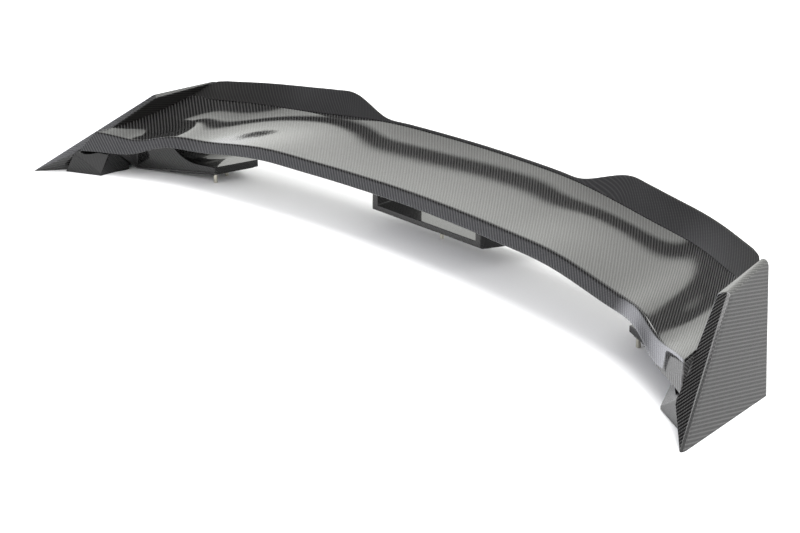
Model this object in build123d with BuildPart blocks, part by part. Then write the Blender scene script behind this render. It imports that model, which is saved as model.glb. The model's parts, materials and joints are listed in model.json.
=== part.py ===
from build123d import *
import os
from math import sqrt

# Racing rear wing: a carbon blade on a centre pedestal and two outer legs, with a
# two-hump flap along the trailing edge and thick wedge-shaped endplates.
# Millimetres.  +X spans to the right, +Y runs to the rear, +Z is up.
# Origin: the centre stud's axis, at the underside of the centre pedestal.

# ---------------------------------------------------------------- driving sizes
# Blade planform and height, as functions of the distance from the centre line
nose_y = -75.0              # leading edge at the centre
nose_sweep = 49.0           # how far the leading edge has moved forward at sweep_station
sweep_station = 474.0
sweep_power = 1.7
nose_end_turn = 0.30        # extra forward slope of the leading edge at the ends
nose_turn_start = 475.0
junction_y = 75.0           # where the flap meets the blade's top, at the centre
junction_sweep = 42.0
junction_station = 423.0
junction_power = 1.8
junction_end_turn = 0.25
junction_turn_start = 440.0
turn_softness = 20.0
nose_z = 45.0
nose_drops = ((16.0, 290.0, 480.0), (22.0, 500.0, 572.0))      # height, from, to
junction_z = 97.0
junction_drops = ((18.0, 150.0, 450.0), (3.0, 450.0, 585.0))
nose_height = 15.0          # front face of the blade
nose_height_end = 29.0
nose_height_span = (505.0, 635.0)
nose_lean = 12.0            # how far the front face leans back
heel_length = 5.0           # blade behind the flap's front face
heel_rise = 2.3
trailing_thickness = 4.0
upper_handles = (46.0, 7.0, 44.0, 21.0)     # rear and up, of the curve's end tangents
lower_handles = (46.0, 3.0, 44.0, 22.0)
skin = 2.0
bond_gap = 0.2
lower_skin_start = 0.018    # the lower skin starts this far along the underside's curve
core_end = 0.78             # where the core stops along the chord curves
trim_gap = 0.6              # bond line between the blade and what stands under it
space_margin = 80.0         # how far the space over the blade reaches past its edges
space_top = 200.0
stations = [0, 60, 120, 180, 240, 300, 350, 400, 440, 475, 505, 530, 555, 580, 610, 645, 690]

# Flap
flap_rise = (3.0, 35.5, 24.0)       # height over the blade: centre strip, knee, outer end
flap_lean = (1.2, 17.0, 34.0)
flap_knee = (188.0, 306.0)          # the edge climbs from the strip to the knee
flap_outer = (330.0, 590.0)
flap_base = 4.6
flap_gap = 0.8
flap_tip = 3.2
flap_tip_rise = 1.0
flap_end_cut = 8.0          # clipped top corner at each end
flap_stations = [
    0, 80, 150, 180, 196, 215, 240, 265, 285, 300, 315, 335, 370, 420, 480, 535, 590, 640,
]

# Endplate, right-hand side: corners of the outer face and of the inner edge
floor_z = -30.0
toe = (700.0, -265.0, floor_z)
heel = (653.9, -71.0, floor_z)
crown_rear = (577.4, 12.3, 100.9)
crown_front = (606.3, -86.7, 88.5)
inner_toe = (690.0, -258.0, -28.0)
inner_front = (648.0, -222.0, -1.0)
inner_crown_front = (596.0, -86.0, 86.0)
inner_crown_rear = (573.0, -4.0, 97.0)
inner_heel = (638.0, -64.0, floor_z)
inner_toe_root = (652.0, -190.0, floor_z)
crown_rear_radius = 9.0
crown_front_radius = 7.0
heel_radius = 5.0
plate_wall = 2.2
plate_blank = 900.0         # square that the endplate is cut from
wedge_depth = 120.0

# Outer legs, right-hand side
pad_kink = (446.0, -84.0, -14.0)        # lowest front corner of the foot pad
pad_low = (597.0, -131.0, floor_z)      # where its sloping underside ends
pad_rear = (440.0, -5.0)
leg_step = (606.0, -171.0)
leg_front = (670.0, -171.0)
leg_rear = ((505.0, -5.0), (628.0, -78.0))
plate_seat_z = -7.0
pad_top_z = -2.0
pad_chamfer = 4.0
scoop_radius = 63.5         # concave inboard side of the leg
scoop_x = 477.0
fairing_low = (603.0, -196.0, -26.3)
fairing_nose = (637.0, -213.5, floor_z)
fairing_shelf = (633.0, -205.0, 3.0)
leg_studs = ((455.5, -76.5), (478.0, -40.0))
leg_screw_places = ((566.0, -103.0), (578.0, -80.0))
leg_hollow = [(553, -105), (599, -119), (612, -160), (640, -160), (618, -88), (575, -58), (553, -46)]
pocket_end = ((547.0, -31.0), (547.0, -112.0))      # outboard end of the stud plate's pocket
plate_margin = 3.5
seal_margin = 1.0
leg_roof = 5.0
leg_block_height = 130.0
fairing_height = 50.0
fairing_front = (700.0, -246.0)
fairing_back = ((606.0, -140.0), (700.0, -140.0))
screw_boss = 9.0
screw_bite = 5.8            # screw length inside the blade
leg_screw_seat = 10.0       # depth of the screw seats under the blade

# Centre pedestal
pedestal_front = -32.0
pedestal_half = 120.0
pedestal_flare = (133.0, 12.0)
pedestal_rear = (140.0, 66.0)
pedestal_base = 8.0
pedestal_wall = 16.0
pedestal_height = 120.0     # before the blade's underside trims it
pedestal_seal_inset = 3.0
pedestal_corner = 6.0
pedestal_screw_places = ((115.5, -20.0), (121.5, 5.0))
pedestal_screw_seat_z = 5.0
plate_recess = (190.0, 50.0)

# Fasteners and seals
m6 = 3.0                    # shank radii
m5 = 2.5
play = 0.05
shank_play = 0.4            # round a screw's shank
hole_play = 0.5             # round a stud's shoulder
head_play = 1.0             # round a screw's head
pocket_play = 0.3           # round a stud plate and a stud's head
below = 10.0                # how far a cut starts under the part it cuts
stud_bottom_z = floor_z
centre_stud_bottom_z = -22.5
stud_head = (5.5, 2.0)      # radius, height
stud_shoulder = 3.6         # radius pressed through the plate
stud_chamfer = 0.6
screw_head = (5.0, 5.0)     # radius, height
screw_socket = (2.9, 3.0)   # radius over the corners, depth
button_head = (4.5, 2.5)    # endplate screws: radius, height
button_socket = (2.25, 1.5)
recess = 4.0
plate_thickness = 3.0
seal_thickness = 1.5
insert_radius = 7.0
rib_thickness = 6.0
cover_thickness = 2.0
endplate_screw_spots = (0.22, 0.38, 0.54)      # along the blade's chord


# ---------------------------------------------------------------- blade geometry
def blend(x, start, end):
    """Smooth step from 0 to 1 between two distances from the centre line."""
    t = min(max((abs(x) - start) / (end - start), 0.0), 1.0)
    return t * t * (3 - 2 * t)


def turn(x, start):
    """Distance outboard of start, with a soft corner there and zero inboard of it."""
    d = abs(x) - start
    return (d + sqrt(d * d + turn_softness**2)) / 2


def nose(x):
    """Lower corner of the blade's front face."""
    y = nose_y - nose_sweep * (abs(x) / sweep_station) ** sweep_power
    y -= nose_end_turn * turn(x, nose_turn_start)
    z = nose_z - sum(drop * blend(x, a, b) for drop, a, b in nose_drops)
    return y, z


def junction(x):
    """Where the flap's front face meets the blade's upper surface."""
    y = junction_y - junction_sweep * (abs(x) / junction_station) ** junction_power
    y -= junction_end_turn * turn(x, junction_turn_start)
    z = junction_z - sum(drop * blend(x, a, b) for drop, a, b in junction_drops)
    return y, z


def bezier_points(start, end, handles):
    """Four control points of a curve from start to end in the YZ plane."""
    lead, lead_rise, trail, trail_rise = handles
    return [start, (start[0] + lead, start[1] + lead_rise), (end[0] - trail, end[1] - trail_rise), end]


def face_height(x):
    """Height of the blade's front face."""
    return nose_height + (nose_height_end - nose_height) * blend(x, *nose_height_span)


def upper_curve(x, inset=0.0):
    """Upper surface from the top of the front face to the trailing edge."""
    y, z = nose(x)
    jy, jz = junction(x)
    start = (y + nose_lean + inset, z + face_height(x) - inset)
    end = (jy + heel_length, jz + heel_rise - inset)
    return bezier_points(start, end, upper_handles)


def lower_curve(x, inset=0.0):
    """Lower surface from the bottom of the front face to the trailing edge."""
    y, z = nose(x)
    jy, jz = junction(x)
    lean = nose_lean / (face_height(x) - skin)
    start = (y + inset * (1 + lean), z + inset)
    end = (jy + heel_length, jz + heel_rise - trailing_thickness + inset)
    return bezier_points(start, end, lower_handles)


def bezier_start(points, t):
    """Control points of the stretch of a cubic curve from its start to parameter t."""
    rows = [[Vector(*p) for p in points]]
    while len(rows[-1]) > 1:
        rows.append([a * (1 - t) + b * t for a, b in zip(rows[-1], rows[-1][1:])])
    return [(row[0].X, row[0].Y) for row in rows]


def on_bezier(points, t):
    """Point of a cubic curve at parameter t."""
    weights = ((1 - t) ** 3, 3 * t * (1 - t) ** 2, 3 * t * t * (1 - t), t**3)
    return tuple(sum(w * p[i] for w, p in zip(weights, points)) for i in (0, 1))


def solve(function, low, high):
    """Root of an increasing function by halving."""
    for _ in range(50):
        middle = (low + high) / 2
        if function(middle) < 0:
            low = middle
        else:
            high = middle
    return (low + high) / 2


def underside_z(x, y):
    """Height of the blade's lower surface."""
    curve = lower_curve(x)
    t = solve(lambda s: on_bezier(curve, s)[0] - y, 0, 1)
    return on_bezier(curve, t)[1]


def plane_through(a, b, c):
    """Plane with its origin at a and its X axis towards b, holding a, b and c."""
    a, b, c = Vector(a), Vector(b), Vector(c)
    along = b - a
    return Plane(origin=a, x_dir=along, z_dir=along.cross(c - a))


def save(piece, name):
    """Label a piece and write it."""
    piece.part.label = name
    export_step(piece.part, f"parts/{name}.step")


def save_pair(right, name):
    """Write a right-hand piece and its mirror image."""
    with BuildPart() as left:
        mirror(right.part, about=Plane.YZ)
    save(right, "right_" + name)
    save(left, "left_" + name)


os.makedirs("parts", exist_ok=True)

outer_plane = plane_through(toe, heel, crown_rear)
inner_plane = plane_through(inner_front, inner_heel, inner_crown_rear)
facets = [
    plane_through(toe, crown_front, inner_front),
    plane_through(crown_front, crown_rear, inner_crown_front),
    plane_through(heel, inner_heel, crown_rear),
    plane_through(inner_front, inner_toe_root, inner_toe),
    Plane(origin=toe, z_dir=(0, 0, -1)),
]
span = [-x for x in reversed(stations[1:])] + stations


def split_both(near):
    """Keep what lies under a plane and under its mirror image."""
    split(bisect_by=near, keep=Keep.BOTTOM)
    o, n = near.origin, near.z_dir
    split(bisect_by=Plane(origin=(-o.X, o.Y, o.Z), z_dir=(-n.X, n.Y, n.Z)), keep=Keep.BOTTOM)


def trim_ends(gap):
    """Cut the part in progress along both endplates' inner faces."""
    split_both(inner_plane.offset(-gap))


def on_inner_plane(point_at, low, high):
    """Where the line of points point_at(x) meets the right endplate's inner face."""
    x = solve(lambda x: inner_plane.to_local_coords(Vector(*point_at(x))).Z, low, high)
    return Vector(*point_at(x))


# ---------------------------------------------------------------- blade skins and core
with BuildPart() as upper_skin:
    for x in span:
        outside = upper_curve(x)
        inside = upper_curve(x, skin)
        foot_y, foot_z = nose(x)
        with BuildSketch(Plane.YZ.offset(x)):
            with BuildLine():
                Line((foot_y, foot_z), outside[0])
                Bezier(*outside)
                Line(outside[3], inside[3])
                Bezier(*reversed(inside))
                Line(inside[0], (foot_y + skin, foot_z))
                Line((foot_y + skin, foot_z), (foot_y, foot_z))
            make_face()
    loft()
    trim_ends(bond_gap)

with BuildPart() as lower_skin_blank:
    for x in span:
        whole = lower_curve(x)
        outside = bezier_start(whole[::-1], 1 - lower_skin_start)
        inside = lower_curve(x, skin)
        edge = (outside[0][0], outside[0][1] + skin - bond_gap)
        front = (inside[0][0] + bond_gap, inside[0][1])
        with BuildSketch(Plane.YZ.offset(x)):
            with BuildLine():
                Bezier(*outside)
                Line(outside[3], front)
                Bezier(front, inside[1], inside[2], edge)
                Line(edge, outside[0])
            make_face()
    loft()
    trim_ends(bond_gap)

with BuildPart() as blade_filling:
    for x in span:
        over = bezier_start(upper_curve(x, skin + bond_gap), core_end)
        under = bezier_start(lower_curve(x, skin + bond_gap), core_end)
        with BuildSketch(Plane.YZ.offset(x)):
            with BuildLine():
                Line(under[0], over[0])
                Bezier(*over)
                Line(over[3], under[3])
                Bezier(*reversed(under))
            make_face()
    loft()
    trim_ends(bond_gap)

# The filling's last few millimetres at each end are the rib that the endplate is screwed to.
with BuildPart() as rib_blank:
    add(blade_filling.part)
    split(bisect_by=inner_plane.offset(-bond_gap - rib_thickness), keep=Keep.TOP)

with BuildPart() as core_blank:
    add(blade_filling.part)
    trim_ends(rib_thickness + 2 * bond_gap)


def space_over_blade(half_span):
    """Everything above the blade's underside, to trim what stands under it."""
    start, end = half_span
    with BuildPart() as space:
        for x in [x for x in span if start <= x <= end]:
            under = [(y, z - trim_gap) for y, z in lower_curve(x)]
            front, back = under[0][0] - space_margin, under[3][0] + space_margin
            with BuildSketch(Plane.YZ.offset(x)):
                with BuildLine():
                    Bezier(*under)
                    Polyline(
                        under[3],
                        (back, under[3][1]),
                        (back, space_top),
                        (front, space_top),
                        (front, under[0][1]),
                        under[0],
                    )
                make_face()
        loft()
    return space.part


# ---------------------------------------------------------------- trailing flap
def flap_section(x):
    """Outline of the flap: base front, top front, top back, base back."""
    y, z = junction(x)
    strip, knee, outer = flap_rise
    climb = blend(x, *flap_knee)
    fall = blend(x, *flap_outer)
    rise = strip + (knee - strip) * climb + (outer - knee) * fall
    lean = flap_lean[0] + (flap_lean[1] - flap_lean[0]) * climb + (flap_lean[2] - flap_lean[1]) * fall
    return [
        (y, z + flap_gap),
        (y + lean, z + rise),
        (y + lean + flap_tip, z + rise + flap_tip_rise),
        (y + flap_base, z + heel_rise + flap_gap - 0.2),
    ]


with BuildPart() as trailing_flap:
    for x in [-x for x in reversed(flap_stations[1:])] + flap_stations:
        with BuildSketch(Plane.YZ.offset(x)):
            with BuildLine():
                Polyline(*flap_section(x), close=True)
            make_face()
    loft()
    trim_ends(bond_gap)
    top_corner = on_inner_plane(lambda x: (x, *flap_section(x)[1]), 500, 640)
    base_corner = on_inner_plane(lambda x: (x, *flap_section(x)[0]), 500, 640)
    inboard = Vector(flap_stations[-4], *flap_section(flap_stations[-4])[1])
    along_top = top_corner + (inboard - top_corner).normalized() * flap_end_cut
    along_end = top_corner + (base_corner - top_corner).normalized() * flap_end_cut
    across = (inboard - top_corner).cross(base_corner - top_corner)
    clip = plane_through(along_top, along_end, along_top + across)
    split_both(-clip if clip.z_dir.X < 0 else clip)

# ---------------------------------------------------------------- endplates
rounded_corners = (
    (crown_rear, crown_rear_radius),
    (crown_front, crown_front_radius),
    (heel, heel_radius),
)


def endplate_block(inset, depth_from, depth_to):
    """The endplate's wedge shrunk by inset, between two depths under its inner face."""
    with BuildPart() as block:
        with BuildSketch(outer_plane.offset(-inset)):
            Rectangle(plate_blank, plate_blank)
        extrude(amount=-wedge_depth)
        for facet in facets:
            split(bisect_by=facet.offset(-inset), keep=Keep.BOTTOM)
        for corner, radius in rounded_corners:
            fillet(block.edges().sort_by_distance(corner)[0], radius - inset)
        split(bisect_by=inner_plane.offset(depth_from), keep=Keep.TOP)
        if depth_to:
            split(bisect_by=inner_plane.offset(depth_to), keep=Keep.BOTTOM)
    return block.part


with BuildPart() as right_endplate_outer:
    add(endplate_block(0, 0, None))
    add(endplate_block(plate_wall, -5, None), mode=Mode.SUBTRACT)


def blade_middle(x, t):
    """Point halfway between the blade's surfaces."""
    over, under = on_bezier(upper_curve(x), t), on_bezier(lower_curve(x), t)
    return x, (over[0] + under[0]) / 2, (over[1] + under[1]) / 2


# Screws through the inner cover into the end rib, square to the inner face
screw_places = []
for t in endplate_screw_spots:
    place = inner_plane.to_local_coords(on_inner_plane(lambda x: blade_middle(x, t), 450, 690))
    screw_places.append((place.X, place.Y))



def screw_discs(radius, depth, length):
    """Round bars square to the inner face on the screw places, starting at a depth in the endplate."""
    with BuildPart() as discs:
        with BuildSketch(inner_plane.offset(depth)):
            with Locations(*screw_places):
                Circle(radius)
        extrude(amount=length)
    return discs.part


head_radius, head_height = button_head
with BuildPart() as right_endplate_screws:
    add(screw_discs(m5, -rib_thickness, rib_thickness + cover_thickness))
    add(screw_discs(head_radius, cover_thickness, head_height))
    with BuildSketch(inner_plane.offset(cover_thickness + head_height)):
        with Locations(*screw_places):
            RegularPolygon(button_socket[0], 6)
    extrude(amount=-button_socket[1], mode=Mode.SUBTRACT)

shank_space = screw_discs(m5 + play, -rib_thickness - 1, rib_thickness + cover_thickness + 2)
head_space = screw_discs(head_radius + play, cover_thickness, head_height + bond_gap)

with BuildPart() as right_end_rib:
    add(rib_blank.part)
    add(shank_space, mode=Mode.SUBTRACT)

with BuildPart() as right_endplate_inner:
    add(endplate_block(plate_wall + bond_gap, 0, cover_thickness))
    add(shank_space, mode=Mode.SUBTRACT)

with BuildPart() as right_endplate_core:
    add(endplate_block(plate_wall + bond_gap, cover_thickness + bond_gap, None))
    add(head_space, mode=Mode.SUBTRACT)


# ---------------------------------------------------------------- outer legs
def drilled(places, radius, low, high):
    """Upright cylinders on the given places."""
    with BuildPart() as pins:
        with BuildSketch(Plane.XY.offset(low)):
            with Locations(*places):
                Circle(radius)
        extrude(amount=high - low)
    return pins.part


def head_pocket(seat_z):
    """Radius, bottom and top of the pocket over a stud's head."""
    radius, height = stud_head
    return radius + pocket_play, floor_z, seat_z + height + pocket_play


def leg_seat(place):
    """Height of the seat under the head of a leg's screw."""
    return underside_z(*place) - leg_screw_seat


leg_space = space_over_blade((300, 700))


def pad_z(x):
    """Height of the foot pad's sloping underside."""
    return pad_kink[2] + (x - pad_kink[0]) * (pad_low[2] - pad_kink[2]) / (pad_low[0] - pad_kink[0])


pad_plane = Plane(
    origin=(pad_kink[0], 0, pad_kink[2]),
    x_dir=(pad_low[0] - pad_kink[0], 0, pad_low[2] - pad_kink[2]),
    z_dir=(pad_kink[2] - pad_low[2], 0, pad_low[0] - pad_kink[0]),
)
pad_outline = [pad_kink[:2], pad_rear, leg_rear[0], *pocket_end]
inboard_x, outboard_x, waste_z = 380, 720, -80
leg_underside = [
    (inboard_x, pad_z(inboard_x)),
    (pad_low[0], floor_z),
    (outboard_x, floor_z),
    (outboard_x, waste_z),
    (inboard_x, waste_z),
]
lip = plane_through(
    (*pad_kink[:2], pad_kink[2] + pad_chamfer),
    (*pad_low[:2], pad_low[2] + pad_chamfer),
    (pad_kink[0] + 1, pad_kink[1] + pad_chamfer, pad_kink[2]),
)

with BuildPart() as leg_block:
    with BuildSketch(Plane.XY.offset(floor_z)):
        Polygon(leg_front, leg_step, pad_low[:2], pad_kink[:2], pad_rear, *leg_rear, align=None)
    extrude(amount=leg_block_height)
    with BuildSketch(Plane.XZ):
        Polygon(*leg_underside, align=None)
        with Locations((scoop_x, pad_top_z + scoop_radius)):
            Circle(scoop_radius)
            Rectangle(3 * scoop_radius, 6 * scoop_radius, align=(Align.MAX, Align.MIN))
        with Locations((scoop_x, pad_top_z)):
            Rectangle(scoop_radius, 2 * scoop_radius, align=(Align.MAX, Align.MIN))
    extrude(amount=plate_blank, both=True, mode=Mode.SUBTRACT)
    split(bisect_by=-lip if lip.z_dir.Z > 0 else lip, keep=Keep.BOTTOM)
    add(leg_space, mode=Mode.SUBTRACT)

with BuildPart() as fairing:
    with BuildSketch(Plane.XY.offset(fairing_nose[2])):
        Polygon(fairing_front, fairing_nose[:2], fairing_low[:2], leg_step, *fairing_back, align=None)
    extrude(amount=fairing_height)
    for corner in (fairing_nose, fairing_shelf):
        cut = plane_through(inner_front, fairing_low, corner)
        split(bisect_by=-cut if cut.z_dir.X > 0 else cut, keep=Keep.BOTTOM)
    add(leg_space, mode=Mode.SUBTRACT)

with BuildPart() as hollow:
    with BuildSketch(Plane.XY.offset(floor_z - below)):
        Polygon(*leg_hollow, align=None)
        with Locations(*leg_screw_places):
            Circle(screw_boss, mode=Mode.SUBTRACT)
    extrude(amount=leg_block_height + below)
    add(leg_space.moved(Location((0, 0, -leg_roof))), mode=Mode.SUBTRACT)

with BuildPart() as right_leg:
    add(leg_block.part)
    add(fairing.part)
    split(bisect_by=inner_plane.offset(-bond_gap), keep=Keep.BOTTOM)
    add(hollow.part, mode=Mode.SUBTRACT)
    with BuildSketch(Plane.XY.offset(floor_z - below)):
        Polygon(*pad_outline, align=None)
        offset(amount=-plate_margin, kind=Kind.INTERSECTION)
    extrude(amount=plate_seat_z - floor_z + below, mode=Mode.SUBTRACT)
    add(drilled(leg_studs, *head_pocket(plate_seat_z)), mode=Mode.SUBTRACT)
    for place in leg_screw_places:
        seat = leg_seat(place)
        add(drilled([place], screw_head[0] + head_play, floor_z - below, seat), mode=Mode.SUBTRACT)
        add(drilled([place], m6 + shank_play, seat, space_top), mode=Mode.SUBTRACT)

with BuildPart() as right_stud_plate:
    with BuildSketch(Plane.XY.offset(plate_seat_z - plate_thickness)):
        Polygon(*pad_outline, align=None)
        offset(amount=-plate_margin - pocket_play, kind=Kind.INTERSECTION)
        with Locations(*leg_studs):
            Circle(stud_shoulder + play, mode=Mode.SUBTRACT)
    extrude(amount=plate_thickness - play)


def stud_set(places, seat_z, shoulder_z, bottom_z):
    """Studs with round heads on a plate's top and shoulders through it, hanging down to bottom_z."""
    with BuildPart() as studs:
        add(drilled(places, m6, bottom_z, seat_z))
        for place in places:
            add(drilled([place], stud_shoulder, shoulder_z(place[0]), seat_z))
        add(drilled(places, stud_head[0], seat_z, seat_z + stud_head[1]))
        tips = studs.faces().sort_by(Axis.Z)[: len(places)]
        chamfer(tips.edges(), stud_chamfer)
    return studs


right_studs = stud_set(leg_studs, plate_seat_z, pad_z, stud_bottom_z)

with BuildPart() as right_foot_seal:
    with BuildSketch(Plane.XY.offset(floor_z - below)):
        Polygon(*pad_outline, align=None)
        offset(amount=-seal_margin - pad_chamfer, kind=Kind.INTERSECTION)
        with Locations(*leg_studs):
            Circle(stud_shoulder + hole_play, mode=Mode.SUBTRACT)
    extrude(amount=fairing_height)
    split(bisect_by=pad_plane.offset(-play), keep=Keep.BOTTOM)
    split(bisect_by=pad_plane.offset(-seal_thickness), keep=Keep.TOP)


# ---------------------------------------------------------------- centre pedestal
pedestal_space = space_over_blade((-300, 300))
pedestal_side = [(pedestal_half, pedestal_front), pedestal_flare, pedestal_rear]
pedestal_window = [
    (pedestal_half - pedestal_wall, pedestal_front - below),
    (pedestal_rear[0] - pedestal_wall, pedestal_rear[1] + below),
]


def mirrored_outline(side):
    """Closed outline from the points of its right-hand side."""
    return [*side, *[(-x, y) for x, y in reversed(side)]]


def pedestal_outline(inset):
    """The pedestal's footprint, drawn in all round by inset."""
    with BuildSketch() as outline:
        Polygon(*mirrored_outline(pedestal_side), align=None)
        front = outline.vertices().group_by(Axis.Y)[0]
        fillet(front, pedestal_corner)
        if inset:
            offset(amount=-inset, kind=Kind.INTERSECTION)
    return outline.sketch


pedestal_screws = [(side * x, y) for x, y in pedestal_screw_places for side in (1, -1)]

with BuildPart() as centre_pedestal:
    with BuildSketch():
        add(pedestal_outline(0))
    extrude(amount=pedestal_height)
    with BuildSketch(Plane.XY.offset(pedestal_base)):
        Polygon(*mirrored_outline(pedestal_window), align=None)
    extrude(amount=pedestal_height, mode=Mode.SUBTRACT)
    add(pedestal_space, mode=Mode.SUBTRACT)
    with BuildSketch():
        Rectangle(*plate_recess)
    extrude(amount=recess, mode=Mode.SUBTRACT)
    add(drilled([(0, 0)], *head_pocket(recess)), mode=Mode.SUBTRACT)
    add(drilled(pedestal_screws, screw_head[0] + shank_play, 0, pedestal_screw_seat_z), mode=Mode.SUBTRACT)
    add(drilled(pedestal_screws, m6 + shank_play, 0, pedestal_height), mode=Mode.SUBTRACT)

with BuildPart() as centre_stud_plate:
    with BuildSketch(Plane.XY.offset(recess - plate_thickness)):
        Rectangle(*(side - 2 * pocket_play for side in plate_recess))
        Circle(stud_shoulder + play, mode=Mode.SUBTRACT)
    extrude(amount=plate_thickness - play)

centre_stud = stud_set([(0, 0)], recess, lambda x: 0, centre_stud_bottom_z)

with BuildPart() as centre_seal:
    with BuildSketch(Plane.XY.offset(-seal_thickness)):
        add(pedestal_outline(pedestal_seal_inset))
        Circle(stud_shoulder + hole_play, mode=Mode.SUBTRACT)
    extrude(amount=seal_thickness - play)


# ---------------------------------------------------------------- screws and inserts into the blade
def cap_screws(places, seats):
    """Socket cap screws pointing up, with their heads under the seats."""
    radius, height = screw_head
    with BuildPart() as screws:
        for place, seat in zip(places, seats):
            add(drilled([place], radius, seat - height, seat))
            add(drilled([place], m6, seat, underside_z(*place) + screw_bite))
            with BuildSketch(Plane.XY.offset(seat - height)):
                with Locations(place):
                    RegularPolygon(screw_socket[0], 6)
            extrude(amount=screw_socket[1], mode=Mode.SUBTRACT)
    return screws


right_leg_screws = cap_screws(leg_screw_places, [leg_seat(place) for place in leg_screw_places])
centre_screws = cap_screws(pedestal_screws, [pedestal_screw_seat_z for _ in pedestal_screws])

fixings = pedestal_screws + [(side * x, y) for x, y in leg_screw_places for side in (1, -1)]

with BuildPart() as blade_inserts:
    add(drilled(fixings, insert_radius, floor_z, space_top))
    add(blade_filling.part, mode=Mode.INTERSECT)
    for place in fixings:
        top = underside_z(*place) + screw_bite + 1
        add(drilled([place], m6 + play, floor_z, top), mode=Mode.SUBTRACT)

with BuildPart() as foam_core:
    add(core_blank.part)
    add(drilled(fixings, insert_radius + play, floor_z, space_top), mode=Mode.SUBTRACT)

with BuildPart() as lower_skin:
    add(lower_skin_blank.part)
    add(drilled(fixings, m6 + shank_play, floor_z, space_top), mode=Mode.SUBTRACT)


# ---------------------------------------------------------------- finished pieces
save(upper_skin, "upper_skin")
save(lower_skin, "lower_skin")
save(foam_core, "foam_core")
save(blade_inserts, "blade_inserts")
save(trailing_flap, "trailing_flap")
save(centre_pedestal, "centre_pedestal")
save(centre_stud_plate, "centre_stud_plate")
save(centre_stud, "centre_stud")
save(centre_seal, "centre_seal")
save(centre_screws, "centre_screws")
save_pair(right_endplate_outer, "endplate_outer")
save_pair(right_endplate_inner, "endplate_inner")
save_pair(right_endplate_core, "endplate_core")
save_pair(right_end_rib, "end_rib")
save_pair(right_endplate_screws, "endplate_screws")
save_pair(right_leg, "leg")
save_pair(right_leg_screws, "leg_screws")
save_pair(right_stud_plate, "stud_plate")
save_pair(right_studs, "studs")
save_pair(right_foot_seal, "foot_seal")
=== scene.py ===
import json
import math

import bmesh
import bpy
import numpy as np
from mathutils import Matrix, Vector
from mathutils.bvhtree import BVHTree


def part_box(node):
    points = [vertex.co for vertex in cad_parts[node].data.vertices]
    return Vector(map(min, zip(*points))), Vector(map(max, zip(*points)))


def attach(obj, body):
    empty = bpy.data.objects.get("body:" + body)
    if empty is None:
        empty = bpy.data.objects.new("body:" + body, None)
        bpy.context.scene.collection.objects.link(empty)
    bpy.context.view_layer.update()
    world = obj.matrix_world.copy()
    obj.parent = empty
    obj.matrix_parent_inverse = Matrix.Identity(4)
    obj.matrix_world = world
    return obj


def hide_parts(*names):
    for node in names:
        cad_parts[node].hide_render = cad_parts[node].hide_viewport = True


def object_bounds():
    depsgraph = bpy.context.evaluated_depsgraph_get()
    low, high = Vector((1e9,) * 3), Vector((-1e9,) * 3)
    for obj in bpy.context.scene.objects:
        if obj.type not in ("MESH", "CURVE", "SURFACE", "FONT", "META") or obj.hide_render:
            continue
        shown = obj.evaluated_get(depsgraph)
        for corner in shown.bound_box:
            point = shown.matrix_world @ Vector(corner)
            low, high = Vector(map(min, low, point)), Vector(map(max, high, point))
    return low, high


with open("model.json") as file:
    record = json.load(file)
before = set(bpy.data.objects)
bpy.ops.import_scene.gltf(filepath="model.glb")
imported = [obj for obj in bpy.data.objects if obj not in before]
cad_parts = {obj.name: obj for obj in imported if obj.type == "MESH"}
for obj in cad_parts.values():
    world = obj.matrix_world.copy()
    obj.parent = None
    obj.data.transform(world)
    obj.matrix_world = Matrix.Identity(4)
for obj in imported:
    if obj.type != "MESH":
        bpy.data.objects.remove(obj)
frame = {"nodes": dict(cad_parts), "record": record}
cad_lo, cad_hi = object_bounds()
nodes = frame["nodes"]

MM = 0.001
SPAN_STEP = 4 * MM           # spacing of the blade's sections along the span
SMOOTH_LENGTH = 90 * MM      # waves shorter than this are smoothed out of the blade
FLAP_SMOOTH_LENGTH = 36 * MM
END_SPAN = 50 * MM           # stretch of the span that a cut section's length is continued from
LEAST_CURVE = 8 * MM         # a section shorter than this is left out
TANGENT_BACK = 6 * MM        # stretch that a curve's end direction is taken from
SKIN = 1.9 * MM
SKIN_EDGE = 0.7 * MM
NOSE_RADIUS = 3 * MM
NOSE_ROWS, TOP_ROWS, CORNER_ROWS = 8, 56, 5
FLAP_EDGE_RADIUS = 1 * MM
FLAP_ROWS = (10, 3, 10, 3)
FLAP_CLIP = 8 * MM           # how far from the corner the CAD clips the flap's ends
FLAP_CORNER = 11 * MM        # tangent length of the round that replaces the clip
CREASE_WIDTH = 2.5 * MM      # softened band between an endplate's outer face and front facet
LARGE_FACE = 800e-4          # areas in square metres, to tell CAD faces apart
STRIP_FACE = 20e-4
FACET_FACE = 15e-4
CLOTH_FACE = 4e-4
SKIN_END_FACE = 1e-4
OUTER_FACE = 100e-4
END_FACE = 0.1e-4
FLAT = math.radians(0.6)     # CAD facets closer than this are one flat face
SHARP = math.radians(28)     # edges sharper than this are softened
SKIN_SHARP = math.radians(55)
NEAR_DIRECTION = math.radians(14)
TOW = 1.5 * MM               # width of one carbon tow
WEAVE = "weave"              # UV layer that holds cloth coordinates in metres

slot_of = {part["node"]: part["material_slot"] for part in frame["record"]["subparts"]}


# ---------------------------------------------------------------- reading the CAD surfaces
def connected(count, edges):
    """A label for each vertex, the same for all vertices joined by edges."""
    label = np.arange(count)
    while True:
        lowest = np.minimum(label[edges[:, 0]], label[edges[:, 1]])
        new = label.copy()
        np.minimum.at(new, edges[:, 0], lowest)
        np.minimum.at(new, edges[:, 1], lowest)
        new = new[new]
        if (new == label).all():
            return label
        label = new


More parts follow.
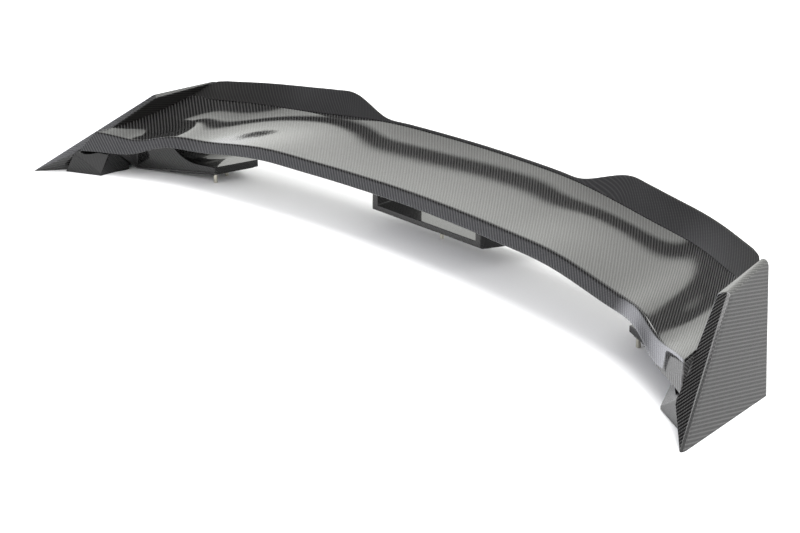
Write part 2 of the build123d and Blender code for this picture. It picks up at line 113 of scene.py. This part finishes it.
def faces_of(node):
    """The CAD faces of a node, each with its points, edges, area and mean normal."""
    mesh = nodes[node].data
    points = np.empty(len(mesh.vertices) * 3)
    mesh.vertices.foreach_get("co", points)
    points = points.reshape(-1, 3)
    edges = np.empty(len(mesh.edges) * 2, dtype=np.int64)
    mesh.edges.foreach_get("vertices", edges)
    edges = edges.reshape(-1, 2)
    label = connected(len(points), edges)
    found = {key: {"points": points, "area": 0.0, "normal": np.zeros(3)} for key in np.unique(label)}
    for polygon in mesh.polygons:
        face = found[label[polygon.vertices[0]]]
        face["area"] += polygon.area
        face["normal"] += polygon.area * np.array(polygon.normal)
    for key, face in found.items():
        face["normal"] /= max(face["area"], 1e-12)
        face["edges"] = edges[label[edges[:, 0]] == key]
        face["own"] = points[label == key]
    return list(found.values())


def face_towards(node, direction, least_area):
    """The CAD face that looks most nearly along a direction, among those with at least that area."""
    direction = np.array(direction) / np.linalg.norm(direction)
    large = [face for face in faces_of(node) if face["area"] >= least_area]
    return max(large, key=lambda face: face["normal"] @ direction)


def end_plane(node, least_area, direction=(1, 0, 0)):
    """Point and outward normal of a node's flat right-hand end."""
    face = face_towards(node, direction, least_area)
    normal = face["normal"] / np.linalg.norm(face["normal"])
    return face["own"].mean(axis=0), normal


# ---------------------------------------------------------------- sections across the span
class Curve:
    """A polyline in the plane of one section, with its full length where the end plane has cut it short."""

    def __init__(self, points, full=None):
        self.points = points
        steps = np.linalg.norm(np.diff(points, axis=0), axis=1)
        self.along = np.concatenate([[0], np.cumsum(steps)])
        self.length = self.along[-1] if full is None else full

    def at(self, distances):
        distances = np.asarray(distances)
        held = self.along[-1]
        y, z = (np.interp(distances, self.along, self.points[:, i]) for i in (0, 1))
        back = np.array([np.interp(held - TANGENT_BACK, self.along, self.points[:, i]) for i in (0, 1)])
        direction = (self.points[-1] - back) / max(np.linalg.norm(self.points[-1] - back), 1e-9)
        over = np.maximum(distances - held, 0)[:, None]
        return np.stack([y, z], axis=1) + over * direction


def section(face, x, direction):
    """Where a CAD face crosses the plane at x, in order along a direction in that plane."""
    a = face["points"][face["edges"][:, 0]]
    b = face["points"][face["edges"][:, 1]]
    crossing = (a[:, 0] - x) * (b[:, 0] - x) < 0
    a, b = a[crossing], b[crossing]
    share = (x - a[:, 0]) / (b[:, 0] - a[:, 0])
    points = (a + (b - a) * share[:, None])[:, 1:]
    order = np.argsort(points @ np.array(direction))
    return points[order]


def whole_span(face, planes):
    """Half-width over which a face's sections aren't cut by the end planes."""
    near = [np.abs((face["own"] - point) @ normal) < 0.3 * MM for point, normal in planes]
    return face["own"][np.any(near, axis=0)][:, 0].min() - SPAN_STEP / 2


def sections(face, direction, planes, stations):
    """A Curve at each station, or None where the face has ended."""
    reach = whole_span(face, planes)
    raw = [section(face, x, direction) for x in stations]
    curves = [Curve(points) if len(points) > 2 else None for points in raw]
    lengths = np.array([curve.length if curve else 0 for curve in curves])
    for sign in (-1, 1):
        inside = (sign * stations < reach) & (sign * stations > reach - END_SPAN)
        slope, start = np.polyfit(sign * stations[inside], lengths[inside], 1)
        for i, x in enumerate(stations):
            if sign * x > reach and curves[i]:
                curves[i].length = max(start + slope * sign * x, 5 * MM)
                if curves[i].along[-1] < LEAST_CURVE:
                    curves[i] = None
    return curves


def rounded_chain(curves, counts, radius, closed=False):
    """Points along curves laid end to end, with the corners between them rounded."""
    last = len(curves) - 1
    rows, sharp = [], []
    reach = [min(radius, 0.35 * curve.length) for curve in curves]
    for i, (curve, count) in enumerate(zip(curves, counts)):
        start = reach[i] if closed or i > 0 else 0
        end = reach[i] if closed or i < last else 0
        rows.append(curve.at(np.linspace(start, curve.length - end, count)))
        sharp.append(curve.at([curve.length])[0])
    out = []
    for i, piece in enumerate(rows):
        out.append(piece)
        if i < last or closed:
            after = rows[(i + 1) % len(rows)][0]
            corner = (sharp[i] + curves[(i + 1) % len(rows)].at([0])[0]) / 2
            t = np.linspace(0, 1, 7)[1:-1, None]
            out.append((1 - t) ** 2 * piece[-1] + 2 * t * (1 - t) * corner + t**2 * after)
    return np.concatenate(out)


def smoother(count, step, wavelength):
    """Matrix that evens out waves much shorter than a wavelength and keeps longer ones."""
    third = np.diff(np.eye(count), n=3, axis=0)
    weight = (2 * math.sin(math.pi * step / wavelength)) ** -6
    return np.linalg.inv(np.eye(count) + weight * third.T @ third)


def filled(grid, known):
    """Continues each row of a grid in a straight line past its last known stations."""
    index = np.flatnonzero(known)
    first, last = index[0], index[-1]
    for i in range(last + 1, len(grid)):
        grid[i] = grid[last] + (grid[last] - grid[last - 5]) / 5 * (i - last)
    for i in range(first - 1, -1, -1):
        grid[i] = grid[first] + (grid[first] - grid[first + 5]) / 5 * (first - i)
    return grid


def lofted(face_list, directions, counts, radius, planes, reach, wavelength, closed=False):
    """Stations and smooth sections through a CAD body's long faces, past both end planes."""
    stations = np.arange(-reach, reach + SPAN_STEP / 2, SPAN_STEP)
    curves = [sections(f, d, planes, stations) for f, d in zip(face_list, directions)]
    grid, known = [], []
    for parts in zip(*curves):
        known.append(all(parts))
        size = sum(counts) + 5 * (len(counts) - (0 if closed else 1))
        grid.append(rounded_chain(parts, counts, radius, closed) if all(parts) else np.zeros((size, 2)))
    grid = filled(np.array(grid), np.array(known))
    smooth = smoother(len(stations), SPAN_STEP, wavelength)
    grid = np.einsum("ij,jkl->ikl", smooth, grid)
    grid = (grid + grid[::-1]) / 2
    return stations, grid


def even_chord(grid, first, count, wavelength):
    """Smooths the rows first to first + count of a grid along the chord, keeping both edge rows."""
    rows = grid[:, first:first + count]
    step = np.linalg.norm(np.diff(rows, axis=1), axis=2).mean()
    base = np.linspace(0, 1, count)[None, :, None]
    line = rows[:, :1] * (1 - base) + rows[:, -1:] * base
    odd = rows - line
    odd = np.concatenate([-odd[:, :0:-1], odd, -odd[:, -2::-1]], axis=1)
    odd = np.einsum("ij,kjl->kil", smoother(odd.shape[1], step, wavelength), odd)
    grid[:, first:first + count] = line + odd[:, count - 1:2 * count - 1]
    return grid


# ---------------------------------------------------------------- making meshes
def new_object(name, bm):
    """Turns a bmesh into an object of the scene."""
    mesh = bpy.data.meshes.new(name)
    bm.to_mesh(mesh)
    bm.free()
    piece = bpy.data.objects.new(name, mesh)
    bpy.context.scene.collection.objects.link(piece)
    return piece


def sheet(name, stations, grid, planes, closed=False):
    """Mesh of a grid of sections, with the cloth laid along the span and the chord."""
    bm = bmesh.new()
    cloth = bm.loops.layers.uv.new(WEAVE)
    points = np.concatenate([np.broadcast_to(stations[:, None, None], grid.shape[:2] + (1,)), grid], axis=2)
    columns, rows = grid.shape[:2]
    middle = columns // 2
    along = np.zeros((columns, rows))
    along[1:] = np.cumsum(np.linalg.norm(np.diff(points, axis=0), axis=2), axis=0)
    along -= along[middle]
    across = np.zeros((columns, rows + 1))
    ring = np.concatenate([points, points[:, :1]], axis=1)
    across[:, 1:] = np.cumsum(np.linalg.norm(np.diff(ring, axis=1), axis=2), axis=1)
    across -= across[:, -1 if closed else rows - 1][:, None]
    along = np.concatenate([along, along[:, :1]], axis=1)
    made = [[bm.verts.new(p) for p in column] for column in points]
    for i in range(columns - 1):
        for j in range(rows if closed else rows - 1):
            k = (j + 1) % rows
            face = bm.faces.new((made[i][j], made[i + 1][j], made[i + 1][k], made[i][k]))
            face.smooth = True
            for loop, (a, b) in zip(face.loops, ((i, j), (i + 1, j), (i + 1, j + 1), (i, j + 1))):
                loop[cloth].uv = (along[a, b], across[a, b])
    for (point, normal), sign in [(plane, sign) for plane in planes for sign in (1, -1)]:
        geometry = bm.verts[:] + bm.edges[:] + bm.faces[:]
        place = Vector((sign * point[0], point[1], point[2]))
        outward = Vector((sign * normal[0], normal[1], normal[2]))
        cut = bmesh.ops.bisect_plane(bm, geom=geometry, plane_co=place, plane_no=outward, clear_outer=True)
        if closed:
            edges = [item for item in cut["geom_cut"] if isinstance(item, bmesh.types.BMEdge)]
            bmesh.ops.holes_fill(bm, edges=edges, sides=0)
    return new_object(name, bm)


def thicken(piece, thickness):
    """Gives a sheet its wall, on the side away from its normals."""
    solid = piece.modifiers.new("wall", "SOLIDIFY")
    solid.thickness = thickness
    solid.offset = -1
    solid.use_rim = True
    solid.use_quality_normals = True
    edge = piece.modifiers.new("rounded_edge", "BEVEL")
    edge.width = SKIN_EDGE
    edge.segments = 3
    edge.limit_method = "ANGLE"
    edge.angle_limit = SKIN_SHARP


def main_normals(bm, least_area):
    """Directions of the large faces, one for each group that looks nearly the same way."""
    found = []
    for face in sorted(bm.faces, key=lambda face: -face.calc_area()):
        if face.calc_area() > least_area and all(face.normal.dot(n) < 0.94 for n in found):
            found.append(face.normal.copy())
    return found or [Vector((0, 0, 1))]


def lay_cloth(bm, grain, normals):
    """Cloth coordinates on every face, in the flat frame of the nearest main direction."""
    cloth = bm.loops.layers.uv.new(WEAVE)
    for face in bm.faces:
        normal = max(normals, key=lambda n: n.dot(face.normal))
        first = grain - normal * grain.dot(normal)
        if first.length < 0.2:
            first = Vector((0, 1, 0)) - normal * normal.y
        first.normalize()
        second = normal.cross(first)
        for loop in face.loops:
            loop[cloth].uv = (loop.vert.co.dot(first), loop.vert.co.dot(second))


def drawn_in(bm, tree, limit):
    """Brings vertices that a bevel has thrown off the original surface back onto it."""
    for vert in bm.verts:
        place, _, _, distance = tree.find_nearest(vert.co)
        if distance > limit:
            vert.co = place


def softened(node, name, radius, grain=(1, 0, 0), crease=None, segments=3):
    """A copy of a CAD node with its faces joined up, its edges softened and cloth laid over it."""
    bm = bmesh.new()
    bm.from_mesh(nodes[node].data)
    bmesh.ops.remove_doubles(bm, verts=bm.verts, dist=0.02 * MM)
    bmesh.ops.dissolve_limit(bm, angle_limit=FLAT, verts=bm.verts, edges=bm.edges)
    bm.normal_update()
    tree = BVHTree.FromBMesh(bm)
    normals = main_normals(bm, CLOTH_FACE)
    if crease:
        a, b, width = crease
        edges = [e for e in bm.edges if between(e, a, b)]
        bmesh.ops.bevel(bm, geom=edges, offset=width, segments=6, profile=0.5, affect="EDGES",
                        clamp_overlap=False)
        drawn_in(bm, tree, 0.4 * width)
        bm.normal_update()
    edges = [e for e in bm.edges if len(e.link_faces) == 2 and e.calc_face_angle(0) > SHARP
             and e.calc_length() > 2.2 * radius]
    bmesh.ops.bevel(bm, geom=edges, offset=radius, segments=segments, profile=0.5, affect="EDGES",
                    clamp_overlap=False)
    drawn_in(bm, tree, 0.6 * radius if not crease else 0.4 * crease[2])
    bm.normal_update()
    lay_cloth(bm, Vector(grain), normals)
    for face in bm.faces:
        face.smooth = True
    piece = new_object(name, bm)
    weighted = piece.modifiers.new("even_normals", "WEIGHTED_NORMAL")
    weighted.mode = "FACE_AREA"
    weighted.weight = 100
    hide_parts(node)
    return piece


def between(edge, a, b):
    """True for an edge whose two faces look along a and b."""
    if len(edge.link_faces) != 2:
        return False
    n, m = (face.normal for face in edge.link_faces)
    near = math.cos(NEAR_DIRECTION)
    return (n.dot(a) > near and m.dot(b) > near) or (n.dot(b) > near and m.dot(a) > near)


# ---------------------------------------------------------------- materials
class Graph:
    """Short forms for building a node tree."""

    def __init__(self, tree):
        self.tree = tree
        tree.nodes.clear()

    def add(self, kind, inputs=(), **settings):
        node = self.tree.nodes.new(kind)
        for key, value in settings.items():
            setattr(node, key, value)
        for key, value in dict(inputs).items():
            self.put(node.inputs[key], value)
        return node

    def put(self, socket, value):
        if isinstance(value, bpy.types.NodeSocket):
            self.tree.links.new(value, socket)
        else:
            socket.default_value = value

    def math(self, operation, *values, clamp=False):
        node = self.add("ShaderNodeMath", operation=operation, use_clamp=clamp)
        for socket, value in zip(node.inputs, values):
            self.put(socket, value)
        return node.outputs[0]

    def mix(self, factor, low, high):
        """Plain number blend from low to high."""
        node = self.add("ShaderNodeMix", data_type="FLOAT")
        for key, value in (("Factor", factor), ("A", low), ("B", high)):
            socket = next(s for s in node.inputs if s.name == key and s.type == "VALUE")
            self.put(socket, value)
        return next(s for s in node.outputs if s.type == "VALUE")

    def colour(self, factor, low, high):
        node = self.add("ShaderNodeMix", data_type="RGBA")
        for key, value in (("A", low), ("B", high)):
            socket = next(s for s in node.inputs if s.name == key and s.type == "RGBA")
            self.put(socket, value)
        self.put(next(s for s in node.inputs if s.name == "Factor" and s.type == "VALUE"), factor)
        return next(s for s in node.outputs if s.type == "RGBA")

    def ramp(self, factor, stops, interpolation="LINEAR"):
        node = self.add("ShaderNodeValToRGB", {"Fac": factor})
        elements = node.color_ramp.elements
        node.color_ramp.interpolation = interpolation
        while len(elements) > 1:
            elements.remove(elements[-1])
        for i, (position, value) in enumerate(stops):
            element = elements[0] if i == 0 else elements.new(position)
            element.position = position
            element.color = (value, value, value, 1) if isinstance(value, (int, float)) else value
        return node.outputs["Color"]


def material(name):
    """A new material, the graph that builds it and its principled shader."""
    made = bpy.data.materials.new(name)
    made.use_nodes = True
    graph = Graph(made.node_tree)
    shader = graph.add("ShaderNodeBsdfPrincipled")
    output = graph.add("ShaderNodeOutputMaterial")
    graph.tree.links.new(shader.outputs[0], output.inputs["Surface"])
    return made, graph, shader


def grey(value, warm=0.0):
    """A grey, more red and less blue with a positive warm."""
    return (value * (1 + warm), value, value * (1 - warm), 1)


def carbon(name, dark, light, rough, coat, coat_rough, relief=0.08, warm=0.01):
    """2x2 twill carbon under lacquer: each tow floats over two and under two, stepping one each row. The
    weft tows get the lighter colour as a painted sheen and the warp tows the dark one, and every tow's
    crown is painted lighter as a painted highlight.
    """
    made, g, shader = material(name)
    uv = g.add("ShaderNodeUVMap", uv_map=WEAVE)
    parts = g.add("ShaderNodeSeparateXYZ", {0: uv.outputs[0]})
    u = g.math("DIVIDE", parts.outputs[0], TOW)
    v = g.math("DIVIDE", parts.outputs[1], TOW)
    u_in, v_in = g.math("FRACT", u), g.math("FRACT", v)
    step = g.math("FLOORED_MODULO", g.math("ADD", g.math("FLOOR", u), g.math("FLOOR", v)), 4)
    warp = g.math("LESS_THAN", step, 1.5)
    float_warp = g.math("MULTIPLY", g.math("ADD", step, v_in), 0.5)
    float_weft = g.math("MULTIPLY", g.math("ADD", g.math("SUBTRACT", step, 2), u_in), 0.5)
    travel = g.mix(warp, float_weft, float_warp)
    side = g.mix(warp, v_in, u_in)
    crown = g.math("SINE", g.math("MULTIPLY", travel, math.pi))
    round_off = g.math("COSINE", g.math("MULTIPLY", g.math("SUBTRACT", side, 0.5), math.pi))
    height = g.math("ADD", g.math("MULTIPLY", crown, 0.6), g.math("MULTIPLY", round_off, 0.4))

    # fibres: fine streaks along each tow and slow tone changes from tow to tow, then a painted highlight
    # that lightens the crown of every tow
    stretch = g.add("ShaderNodeCombineXYZ", {
        0: g.mix(warp, g.math("MULTIPLY", u, 0.15), g.math("MULTIPLY", u, 14)),
        1: g.mix(warp, g.math("MULTIPLY", v, 14), g.math("MULTIPLY", v, 0.15)),
        2: g.math("MULTIPLY", warp, 7.3)})
    streak = g.add("ShaderNodeTexNoise", {"Vector": stretch.outputs[0], "Scale": 1.0, "Detail": 2.0})
    streak = streak.outputs[0]
    lane = g.mix(warp, g.math("FLOOR", v), g.math("FLOOR", u))
    lane = g.add("ShaderNodeCombineXYZ", {0: lane, 1: warp})
    tone = g.add("ShaderNodeTexWhiteNoise", {"Vector": lane.outputs[0]}, noise_dimensions="3D")
    uneven = g.math("MULTIPLY", tone.outputs[0], 0.12)
    tone_and_crown_highlight = g.math("ADD", g.math("MULTIPLY", streak, 0.35), uneven)
    # painted highlight: the crown of each tow is made lighter in the base colour, standing in for the light
    # it catches
    crown_highlight_mask = g.math("POWER", height, 2.2)
    crown_highlight = g.math("ADD", g.math("MULTIPLY", crown_highlight_mask, 1.1), 0.12)
    tone_and_crown_highlight = g.math("MULTIPLY", g.math("ADD", tone_and_crown_highlight, 0.72), crown_highlight)
    # painted sheen: the two tow directions get a dark and a lighter copy of one black fibre colour,
    # standing in for how each direction reflects the light
    weave = g.colour(warp, grey(light, warm), grey(dark, warm))
    tint = g.add("ShaderNodeMix", data_type="RGBA", blend_type="MULTIPLY")
    tint.inputs[0].default_value = 1.0
    g.put(tint.inputs[6], weave)
    tone_and_highlight_colour = g.add("ShaderNodeCombineColor", {0: tone_and_crown_highlight, 1: tone_and_crown_highlight, 2: tone_and_crown_highlight})
    g.put(tint.inputs[7], tone_and_highlight_colour.outputs[0])

    bump = g.add("ShaderNodeBump", {"Height": height, "Distance": relief * MM, "Strength": 1.0})
    tangent = g.add("ShaderNodeTangent", direction_type="UV_MAP", uv_map=WEAVE)
    g.put(shader.inputs["Base Color"], tint.outputs[2])
    g.put(shader.inputs["Metallic"], 0.1)
    g.put(shader.inputs["Specular IOR Level"], 0.08)
    g.put(shader.inputs["Roughness"], g.math("ADD", g.math("MULTIPLY", streak, 0.12), rough))
    g.put(shader.inputs["Anisotropic"], 0.8)
    g.put(shader.inputs["Anisotropic Rotation"], g.mix(warp, 0.25, 0.0))
    g.put(shader.inputs["Tangent"], tangent.outputs[0])
    g.put(shader.inputs["Normal"], bump.outputs[0])
    g.put(shader.inputs["Coat Weight"], coat)
    g.put(shader.inputs["Coat Roughness"], coat_rough)
    g.put(shader.inputs["Coat IOR"], 1.5)
    # the lacquer itself is nearly flat, with a very slight print-through of the cloth
    orange = g.add("ShaderNodeTexNoise", {"Vector": uv.outputs[0], "Scale": 90.0, "Detail": 1.0})
    lacquer = g.math("ADD", g.math("MULTIPLY", height, 0.25), orange.outputs[0])
    flat = g.add("ShaderNodeBump", {"Height": lacquer, "Distance": 0.012 * MM, "Strength": 1.0})
    g.put(shader.inputs["Coat Normal"], flat.outputs[0])
    return made


def metal(name, colour, rough, scale, stretch=(1, 1, 1), relief=0.02):
    """Bare or plated metal with fine marks and uneven tone."""
    made, g, shader = material(name)
    place = g.add("ShaderNodeTexCoord").outputs["Object"]
    mapped = g.add("ShaderNodeMapping", {"Vector": place, "Scale": stretch})
    marks = g.add("ShaderNodeTexNoise", {"Vector": mapped.outputs[0], "Scale": scale, "Detail": 6.0})
    cloud = g.add("ShaderNodeTexNoise", {"Vector": place, "Scale": scale / 12, "Detail": 3.0})
    low = tuple(c * 0.72 for c in colour[:3]) + (1,)
    tone = g.ramp(cloud.outputs[0], [(0.3, low), (0.7, tuple(colour[:3]) + (1,))])
    g.put(shader.inputs["Base Color"], tone)
    g.put(shader.inputs["Metallic"], 1.0)
    g.put(shader.inputs["Roughness"], g.math("ADD", g.math("MULTIPLY", marks.outputs[0], 0.25), rough))
    bump = g.add("ShaderNodeBump", {"Height": marks.outputs[0], "Distance": relief * MM, "Strength": 0.6})
    g.put(shader.inputs["Normal"], bump.outputs[0])
    return made


def foam(name, colour, cell, rough):
    """Foam with round closed cells."""
    made, g, shader = material(name)
    place = g.add("ShaderNodeTexCoord").outputs["Object"]
    cells = g.add("ShaderNodeTexVoronoi", {"Vector": place, "Scale": 1 / cell})
    grain = g.add("ShaderNodeTexNoise", {"Vector": place, "Scale": 0.2 / cell, "Detail": 4.0})
    low = tuple(c * 0.7 for c in colour[:3]) + (1,)
    tone = g.ramp(grain.outputs[0], [(0.3, low), (0.7, tuple(colour[:3]) + (1,))])
    g.put(shader.inputs["Base Color"], tone)
    g.put(shader.inputs["Roughness"], rough)
    bump = g.add("ShaderNodeBump", {"Height": cells.outputs[0], "Distance": cell * 0.3, "Strength": 0.7})
    g.put(shader.inputs["Normal"], bump.outputs[0])
    return made


colours = {entry["slot"]: entry["base_color"] for entry in frame["record"]["materials"]}
finishes = {
    # for each carbon: the dark warp colour, then the lighter painted-sheen colour of the weft tows
    "carbon_gloss": carbon("carbon_gloss", 0.001, 0.052, 0.42, 1.0, 0.012),
    "carbon_satin": carbon("carbon_satin", 0.004, 0.022, 0.5, 0.3, 0.45, warm=0.05),
    "black_gloss": carbon("black_gloss", 0.001, 0.006, 0.4, 0.7, 0.05, relief=0.05),
    "foam": foam("foam", colours["foam"], 1.2 * MM, 0.9),
    "seal_foam": foam("seal_foam", colours["seal_foam"], 0.5 * MM, 0.8),
    "plate_steel": metal("plate_steel", colours["plate_steel"], 0.28, 260, (1, 8, 1)),
    "stud_steel": metal("stud_steel", colours["stud_steel"], 0.25, 500),
    "screw_steel": metal("screw_steel", colours["screw_steel"], 0.4, 700),
    "insert_metal": metal("insert_metal", colours["insert_metal"], 0.2, 300, (1, 1, 9)),
}


def finish(piece, slot):
    """Puts a slot's material on a piece, and lets it move with the wing."""
    piece.data.materials.clear()
    piece.data.materials.append(finishes[slot])
    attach(piece, "root")
    return piece


for name, node in nodes.items():
    node.data.materials.clear()
    node.data.materials.append(finishes[slot_of[name]])


# ---------------------------------------------------------------- blade skins
blade_end = end_plane("upper_skin", SKIN_END_FACE)
blade_reach = math.ceil(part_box("upper_skin")[1].x / SPAN_STEP + 1) * SPAN_STEP
nose_face = face_towards("upper_skin", (0, -0.8, 0.6), STRIP_FACE)
top_face = face_towards("upper_skin", (0, 0, 1), LARGE_FACE)
under_face = face_towards("lower_skin", (0, 0.3, -1), LARGE_FACE)

stations, grid = lofted([nose_face, top_face], [(0.6, 0.8), (1, 0)], [NOSE_ROWS, TOP_ROWS], NOSE_RADIUS,
                        [blade_end], blade_reach, SMOOTH_LENGTH)
grid = even_chord(grid, NOSE_ROWS + CORNER_ROWS, TOP_ROWS, SMOOTH_LENGTH)
blade_upper = sheet("blade_upper", stations, grid, [blade_end])
thicken(blade_upper, SKIN)
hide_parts("upper_skin")
finish(blade_upper, "carbon_gloss")

stations, grid = lofted([under_face], [(1, 0)], [TOP_ROWS], 0, [blade_end], blade_reach, SMOOTH_LENGTH)
grid = even_chord(grid, 0, TOP_ROWS, SMOOTH_LENGTH)
blade_lower = sheet("blade_lower", stations, grid[:, ::-1], [blade_end])
thicken(blade_lower, SKIN)
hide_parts("lower_skin")
finish(blade_lower, "carbon_gloss")


# ---------------------------------------------------------------- trailing flap
def rounded_corner(end, clip, count=6):
    """Planes that round the corner which the clip plane cuts off."""
    half_turn = math.acos(end[1] @ clip[1])
    corner = clip[0] + clip[1] * FLAP_CLIP * math.sin(half_turn)
    top = 2 * (clip[1] @ end[1]) * clip[1] - end[1]
    radius = FLAP_CORNER / math.tan(half_turn)
    centre = corner - clip[1] * radius / math.cos(half_turn)
    planes = []
    for i in range(1, count):
        share = i / count * 2 * half_turn
        normal = end[1] * math.sin(2 * half_turn - share) + top * math.sin(share)
        normal = normal / math.sin(2 * half_turn)
        planes.append((centre + radius * normal, normal))
    return planes


flap_end = end_plane("trailing_flap", END_FACE)
flap_clip = end_plane("trailing_flap", END_FACE, (0.7, 0.54, 0.46))
flap_faces = [
    face_towards("trailing_flap", direction, STRIP_FACE)
    for direction in ((0, -0.8, 0.6), (0, -0.3, 0.95), (0, 0.8, -0.55), (0, 0.4, -0.9))
]
flap_reach = math.ceil(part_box("trailing_flap")[1].x / SPAN_STEP + 1) * SPAN_STEP
stations, grid = lofted(flap_faces, [(0.6, 0.8), (1, 0), (-0.6, -0.8), (-1, 0)],
                        FLAP_ROWS, FLAP_EDGE_RADIUS, [flap_end, flap_clip], flap_reach, FLAP_SMOOTH_LENGTH,
                        closed=True)
flap = sheet("flap", stations, grid, [flap_end] + rounded_corner(flap_end, flap_clip), closed=True)
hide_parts("trailing_flap")
finish(flap, "carbon_satin")


# ---------------------------------------------------------------- endplates, legs, pedestal
for side, sign in (("left", -1), ("right", 1)):
    outer = face_towards(side + "_endplate_outer", (sign, 0, 0.2), OUTER_FACE)
    facet = face_towards(side + "_endplate_outer", (sign * 0.54, -0.3, 0.71), FACET_FACE)
    outer_normal = Vector(outer["normal"]).normalized()
    facet_normal = Vector(facet["normal"]).normalized()
    crease = outer_normal.cross(facet_normal).normalized()
    shell = softened(side + "_endplate_outer", side + "_endplate_shell", 0.5 * MM, crease,
                     (outer_normal, facet_normal, CREASE_WIDTH))
    finish(shell, "carbon_gloss")
    cover = softened(side + "_endplate_inner", side + "_endplate_cover", 0.4 * MM, crease)
    finish(cover, "carbon_satin")
    leg = softened(side + "_leg", side + "_mounting_leg", 1.0 * MM, (1, 0, 0))
    finish(leg, "black_gloss")
    rib = softened(side + "_end_rib", side + "_blade_end", 0.3 * MM, (0, 1, 0))
    finish(rib, "carbon_gloss")

pedestal = softened("centre_pedestal", "pedestal", 1.0 * MM, (1, 0, 0))
finish(pedestal, "black_gloss")


# ---------------------------------------------------------------- stage
bm = bmesh.new()
bmesh.ops.create_grid(bm, x_segments=8, y_segments=8, size=6.0)
floor = new_object("studio_floor", bm)
floor.location.z = cad_lo.z - 0.2 * MM
made, g, shader = material("studio_floor")
place = g.add("ShaderNodeTexCoord")
paper = g.add("ShaderNodeTexNoise", {"Vector": place.outputs["Object"], "Scale": 300.0, "Detail": 3.0})
tone = g.ramp(paper.outputs[0], [(0.3, grey(0.86)), (0.7, grey(0.88))])
g.put(shader.inputs["Base Color"], tone)
g.put(shader.inputs["Roughness"], 0.7)
g.put(shader.inputs["Specular IOR Level"], 0.0)
floor.data.materials.append(made)

# The world is a ring of light round the span: its brightness depends on how far a direction leans
# towards the rear, so that the blade's lacquer shows a few even bands along its whole length.
scene = bpy.context.scene
world = bpy.data.worlds.new("studio")
world.use_nodes = True
scene.world = world
g = Graph(world.node_tree)
direction = g.add("ShaderNodeTexCoord")
parts = g.add("ShaderNodeSeparateXYZ", {0: direction.outputs["Generated"]})
dx, dy, dz = parts.outputs
tilt = g.math("ARCTAN2", dy, dz)
turned = g.math("ADD", g.math("DIVIDE", tilt, 2 * math.pi), 0.5)


def lean(degrees):
    """Place on the lighting ramp of a direction that leans towards +Y from straight up."""
    return degrees / 360 + 0.5


def cool(value):
    """Slightly blue light."""
    return (0.97 * value, 0.98 * value, 1.05 * value, 1)


def warm(value):
    """Slightly yellow light."""
    return (1.0 * value, 1.01 * value, 0.97 * value, 1)


ring = g.ramp(turned, [
    (lean(-100), cool(1.5)), (lean(-84), cool(1.5)), (lean(-60), cool(1.4)), (lean(-38), cool(1.1)),
    (lean(-25), grey(0.05)), (lean(14), grey(0.05)), (lean(17), warm(1.7)), (lean(25.5), warm(2.0)),
    (lean(28), grey(0.02)), (lean(33.5), grey(0.02)), (lean(37), warm(2.1)), (lean(60), warm(2.1)),
    (lean(90), grey(1.5)), (lean(100), grey(0.9))])
right = g.math("MULTIPLY", g.math("ADD", dx, 0.1), 2.0, clamp=True)
right_value = g.math("ADD", g.math("MULTIPLY", dz, 1.6), 1.5)
left_low = g.math("MULTIPLY", g.math("SUBTRACT", g.math("MULTIPLY", dx, -1), 0.83), 10, clamp=True)
right_grey = g.add("ShaderNodeCombineColor", {0: right_value, 1: right_value, 2: right_value})
lit = g.colour(right, ring, right_grey.outputs[0])
lit = g.colour(left_low, lit, cool(4.0))
seen = g.add("ShaderNodeLightPath")
backdrop = g.colour(seen.outputs["Is Camera Ray"], lit, grey(1.0))
background = g.add("ShaderNodeBackground", {"Color": backdrop, "Strength": 1.0})
output = g.add("ShaderNodeOutputWorld")
g.tree.links.new(background.outputs[0], output.inputs["Surface"])


def area_light(name, place, target, size, power):
    """A softbox that lights without showing up in reflections."""
    lamp = bpy.data.lights.new(name, "AREA")
    lamp.shape = "RECTANGLE"
    lamp.size, lamp.size_y = size
    lamp.energy = power
    lamp.specular_factor = 0.0
    thing = bpy.data.objects.new(name, lamp)
    thing.location = place
    thing.rotation_euler = (Vector(target) - Vector(place)).to_track_quat("-Z", "Y").to_euler()
    scene.collection.objects.link(thing)
    return thing


area_light("overhead_softbox", (0, 0.3, 2.6), (0, -0.1, 0), (2.4, 1.6), 60)


# ---------------------------------------------------------------- camera
camera_place = Vector((1.9352, -1.6817, 0.8291))
camera_right = Vector((0.6382, 0.7699, 0.0)).normalized()
camera_back = Vector((0.727, -0.6026, 0.3292)).normalized()
camera_up = camera_back.cross(camera_right).normalized()
camera_right = camera_up.cross(camera_back)
camera_data = bpy.data.cameras.new("camera")
camera_data.lens = 85.5
camera_data.sensor_width = 36
camera = bpy.data.objects.new("camera", camera_data)
turn = Matrix((camera_right, camera_up, camera_back)).transposed()
camera.matrix_world = Matrix.Translation(camera_place) @ turn.to_4x4()
scene.collection.objects.link(camera)
scene.camera = camera
scene.view_settings.view_transform = "Standard"
